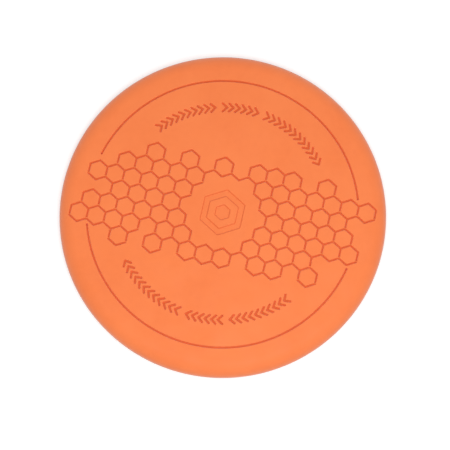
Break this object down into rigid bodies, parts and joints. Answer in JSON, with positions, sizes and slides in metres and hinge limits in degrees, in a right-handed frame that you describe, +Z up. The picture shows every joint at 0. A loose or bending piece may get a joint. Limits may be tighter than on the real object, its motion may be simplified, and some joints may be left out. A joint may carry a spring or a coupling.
{
  "type": "drum practice pad",
  "caption": "Round drum practice pad: an engraved moulded rubber cap over foam and a plywood core, with a non-slip base mat and a threaded insert for a stand.",
  "frame": {"origin": "centre of the rest face, on the underside of the base mat", "axes": "+Z up out of the playing face, +X to the player's right, -Y towards the player"},
  "size_m": [0.3048, 0.3048, 0.022],
  "materials": {
    "cap_rubber": "matt moulded orange rubber with a faint mottle",
    "foam": "closed-cell EVA foam, dark grey, fine open pores on the skin",
    "plywood": "sanded unfinished birch plywood",
    "mat_rubber": "matt black non-slip rubber with a fine moulded grain",
    "zinc_plate": "bright zinc plate over turned steel",
    "screw_steel": "plain zinc-plated steel"
  },
  "bodies": {
    "root": {"rubber_cap": "cap_rubber", "damping_foam": "foam", "core_board": "plywood", "base_mat": "mat_rubber", "stand_insert": "zinc_plate", "insert_screw_1": "screw_steel", "insert_screw_2": "screw_steel", "insert_screw_3": "screw_steel", "insert_screw_4": "screw_steel"}
  },
  "joints": []
}
